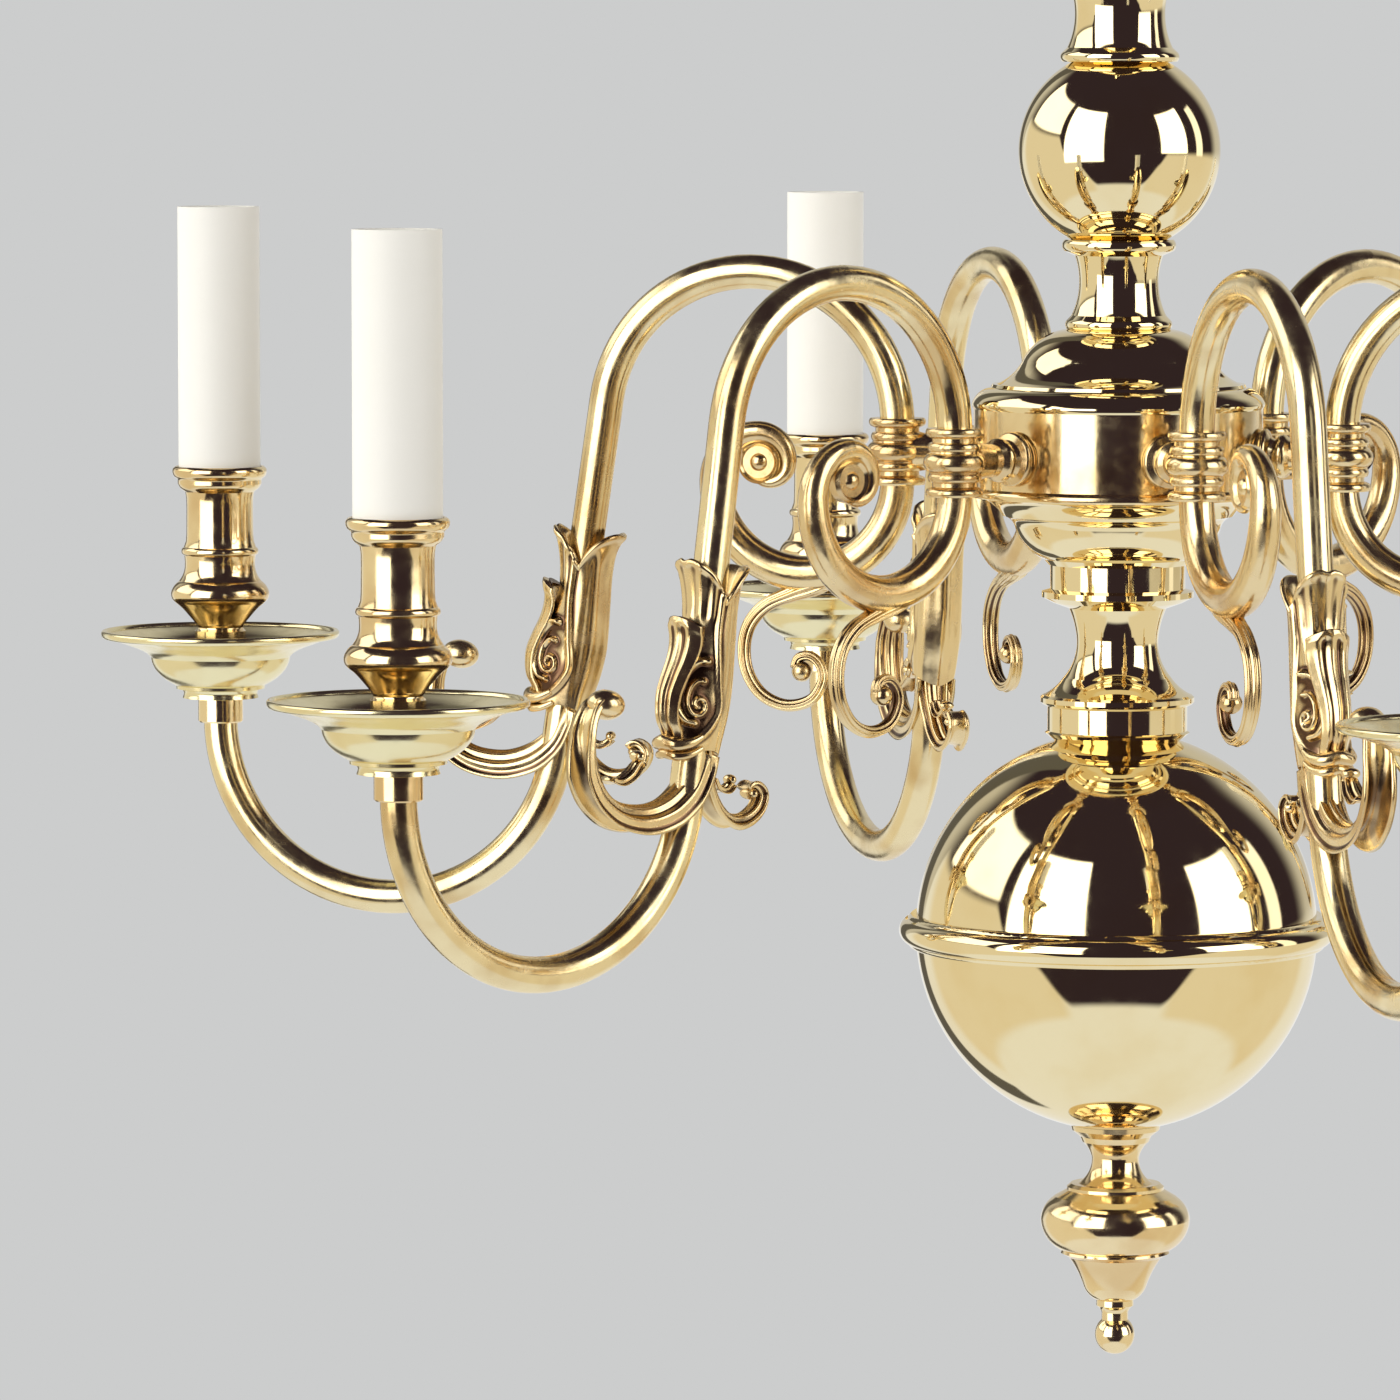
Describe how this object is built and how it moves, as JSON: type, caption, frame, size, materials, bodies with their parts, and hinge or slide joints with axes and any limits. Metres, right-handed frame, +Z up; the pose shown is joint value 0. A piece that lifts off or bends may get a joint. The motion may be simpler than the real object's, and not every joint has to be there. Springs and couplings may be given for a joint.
{
  "type": "chandelier",
  "caption": "Hanging brass chandelier: turned column with ball, scrolled tube arms from a drum hub, dished drip pans, candle cups and lift-off candle sleeves.",
  "frame": {"origin": "the hook seat: the point inside the top of the suspension ring where a hook bears", "axes": "+Z up along the column, +X along the first arm"},
  "size_m": [0.6714, 0.5881, 0.5102],
  "materials": {
    "polished_brass": "polished, lacquered",
    "satin_brass": "polished tube, faint drawing lines",
    "cast_brass": "polished casting with dark recesses",
    "sleeve_ivory": "matte ivory candle sleeve",
    "lampholder_plastic": "matte moulded",
    "bush_plastic": "matte moulded",
    "wire_cover": "gloss insulation",
    "terminal_plastic": "matte moulded",
    "plated_steel": "zinc plated"
  },
  "bodies": {
    "ring": {"suspension_ring": "polished_brass"},
    "fixture": {"suspension_eye": "polished_brass", "top_cap": "polished_brass", "cable_bush": "bush_plastic", "upper_neck": "polished_brass", "small_ball": "polished_brass", "middle_neck": "polished_brass", "hub_dome": "polished_brass", "hub_drum": "polished_brass", "hub_bowl": "polished_brass", "lower_neck": "polished_brass", "ball_collar": "polished_brass", "ball_upper_half": "polished_brass", "ball_girdle": "polished_brass", "ball_lower_half": "polished_brass", "bottom_spool": "polished_brass", "bottom_bun": "polished_brass", "bell_finial": "polished_brass", "centre_rod": "plated_steel", "rod_nuts": "plated_steel", "terminal_block": "terminal_plastic", "supply_wire": "wire_cover", "arm_tube_1": "satin_brass", "arm_tube_2": "satin_brass", "arm_tube_3": "satin_brass", "arm_tube_4": "satin_brass", "arm_tube_5": "satin_brass", "arm_tube_6": "satin_brass", "arm_leaf_1": "cast_brass", "arm_leaf_2": "cast_brass", "arm_leaf_3": "cast_brass", "arm_leaf_4": "cast_brass", "arm_leaf_5": "cast_brass", "arm_leaf_6": "cast_brass", "drip_pan_1": "polished_brass", "drip_pan_2": "polished_brass", "drip_pan_3": "polished_brass", "drip_pan_4": "polished_brass", "drip_pan_5": "polished_brass", "drip_pan_6": "polished_brass", "candle_cup_1": "polished_brass", "candle_cup_2": "polished_brass", "candle_cup_3": "polished_brass", "candle_cup_4": "polished_brass", "candle_cup_5": "polished_brass", "candle_cup_6": "polished_brass", "arm_collars": "cast_brass", "arm_scrolls": "cast_brass", "arm_tendrils": "cast_brass", "arm_ferrules": "polished_brass", "lampholders": "lampholder_plastic", "arm_nuts": "plated_steel", "arm_wires": "wire_cover"},
    "sleeve_1": {"candle_sleeve_1": "sleeve_ivory"},
    "sleeve_2": {"candle_sleeve_2": "sleeve_ivory"},
    "sleeve_3": {"candle_sleeve_3": "sleeve_ivory"},
    "sleeve_4": {"candle_sleeve_4": "sleeve_ivory"},
    "sleeve_5": {"candle_sleeve_5": "sleeve_ivory"},
    "sleeve_6": {"candle_sleeve_6": "sleeve_ivory"}
  },
  "joints": [
    {"name": "swing", "type": "hinge", "parent": "ring", "child": "fixture", "pos_m": [0, 0, -0.037], "axis": [0, 1, 0], "range_deg": [-30, 30]},
    {"name": "sleeve_lift_1", "type": "slide", "parent": "fixture", "child": "sleeve_1", "axis": [0, 0, 1], "range_m": [0, 0.095]},
    {"name": "sleeve_lift_2", "type": "slide", "parent": "fixture", "child": "sleeve_2", "axis": [0, 0, 1], "range_m": [0, 0.095]},
    {"name": "sleeve_lift_3", "type": "slide", "parent": "fixture", "child": "sleeve_3", "axis": [0, 0, 1], "range_m": [0, 0.095]},
    {"name": "sleeve_lift_4", "type": "slide", "parent": "fixture", "child": "sleeve_4", "axis": [0, 0, 1], "range_m": [0, 0.095]},
    {"name": "sleeve_lift_5", "type": "slide", "parent": "fixture", "child": "sleeve_5", "axis": [0, 0, 1], "range_m": [0, 0.095]},
    {"name": "sleeve_lift_6", "type": "slide", "parent": "fixture", "child": "sleeve_6", "axis": [0, 0, 1], "range_m": [0, 0.095]}
  ]
}
